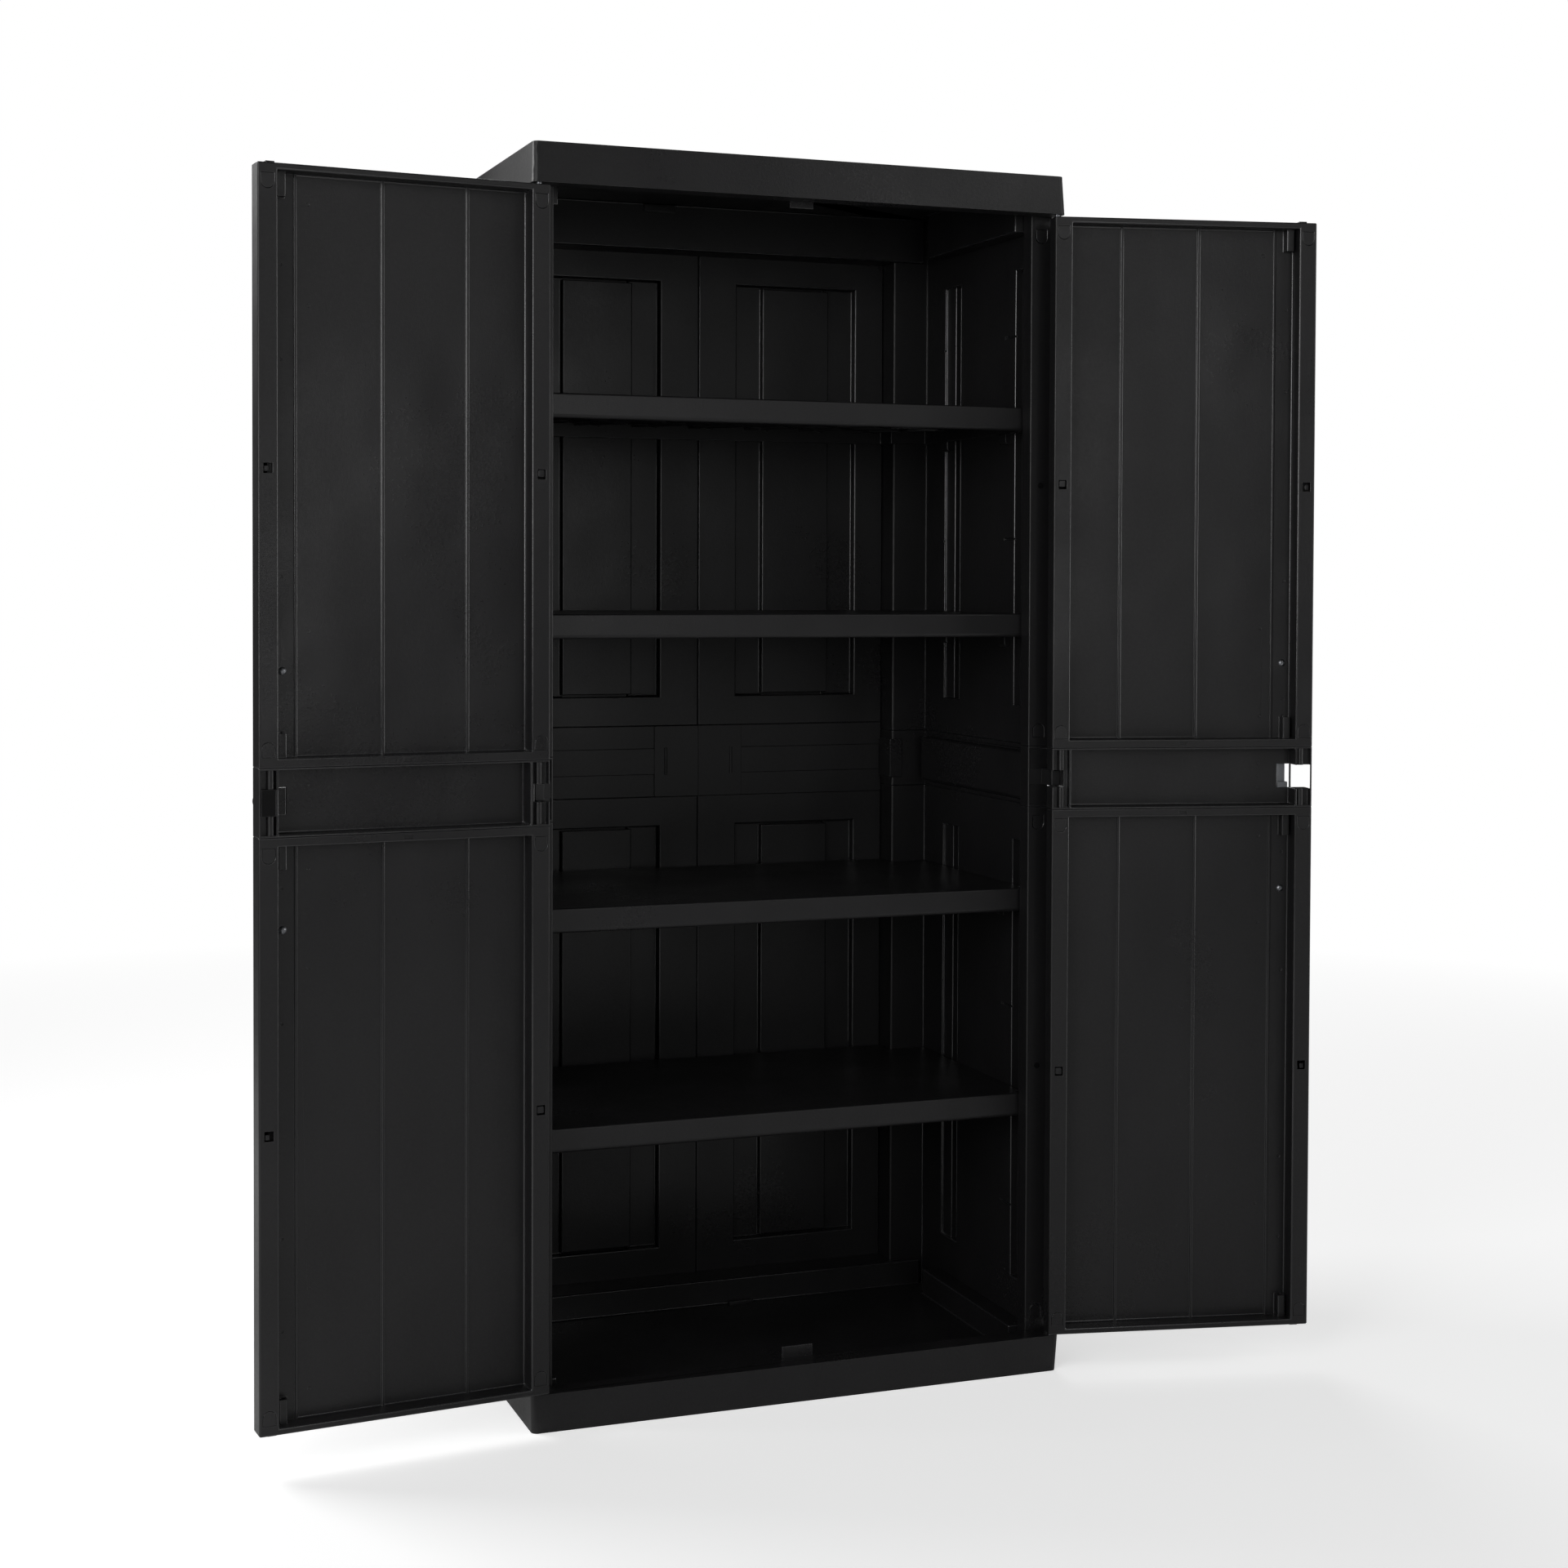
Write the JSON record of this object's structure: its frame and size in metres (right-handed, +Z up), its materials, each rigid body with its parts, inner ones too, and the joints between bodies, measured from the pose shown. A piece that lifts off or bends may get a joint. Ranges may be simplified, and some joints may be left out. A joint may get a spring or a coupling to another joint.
{
  "type": "garden storage cabinet",
  "caption": "Upright plastic storage cabinet with two hinged panelled doors, open shelves inside, a shallow plinth and a deep roof fascia.",
  "frame": {"origin": "centre of the base's footprint, on the ground", "axes": "+X to the right of someone facing the doors, +Y to the back, +Z up"},
  "size_m": [1.5851, 0.6319, 1.8],
  "materials": {
    "wall_resin": "satin moulded black resin with a fine grain",
    "cap_resin": "satin moulded black resin with a fine grain",
    "door_resin": "satin moulded black resin with a fine grain",
    "shelf_resin": "satin moulded black resin, ribbed below",
    "trim_resin": "smooth moulded black plastic",
    "steel": "zinc plated"
  },
  "bodies": {
    "root": {"base_plinth": "cap_resin", "roof_cap": "cap_resin", "right_side_lower_panel": "wall_resin", "left_side_lower_panel": "wall_resin", "right_side_upper_panel": "wall_resin", "left_side_upper_panel": "wall_resin", "right_side_band": "wall_resin", "left_side_band": "wall_resin", "right_back_lower_panel": "wall_resin", "left_back_lower_panel": "wall_resin", "right_back_upper_panel": "wall_resin", "left_back_upper_panel": "wall_resin", "right_back_band": "wall_resin", "left_back_band": "wall_resin", "right_corner_connector": "trim_resin", "left_corner_connector": "trim_resin", "right_hinge_bracket": "trim_resin", "left_hinge_bracket": "trim_resin", "right_hinge_pin": "steel", "left_hinge_pin": "steel", "back_joiner_plate": "trim_resin", "shelf_1": "shelf_resin", "shelf_2": "shelf_resin", "shelf_3": "shelf_resin", "shelf_4": "shelf_resin", "shelf_brackets": "trim_resin", "stile_clips": "trim_resin", "stile_screws": "steel", "base_catch": "trim_resin", "roof_catch": "trim_resin"},
    "left_door": {"left_door_lower_panel": "door_resin", "left_door_upper_panel": "door_resin", "left_door_band": "door_resin", "left_door_clips": "trim_resin", "left_door_pivots": "steel", "left_door_screws": "steel", "latch_housing": "trim_resin", "latch_cover": "trim_resin"},
    "right_door": {"right_door_lower_panel": "door_resin", "right_door_upper_panel": "door_resin", "right_door_band": "door_resin", "right_door_clips": "trim_resin", "right_door_pivots": "steel", "right_door_screws": "steel", "latch_keeper": "steel"},
    "latch": {"latch_lever": "trim_resin", "latch_washer": "steel"}
  },
  "joints": [
    {"name": "left_door_hinge", "type": "hinge", "parent": "root", "child": "left_door", "pos_m": [-0.3993, -0.2584, 0.8992], "axis": [0, 0, 1], "range_deg": [-5.5, 174.5]},
    {"name": "right_door_hinge", "type": "hinge", "parent": "root", "child": "right_door", "pos_m": [0.3993, -0.2584, 0.8992], "axis": [0, 0, 1], "range_deg": [-168, 12]},
    {"name": "latch_turn", "type": "hinge", "parent": "left_door", "child": "latch", "pos_m": [-0.78289, -0.28167, 0.8992], "axis": [0.0958, -0.9954, 0], "range_deg": [0, 90]}
  ]
}
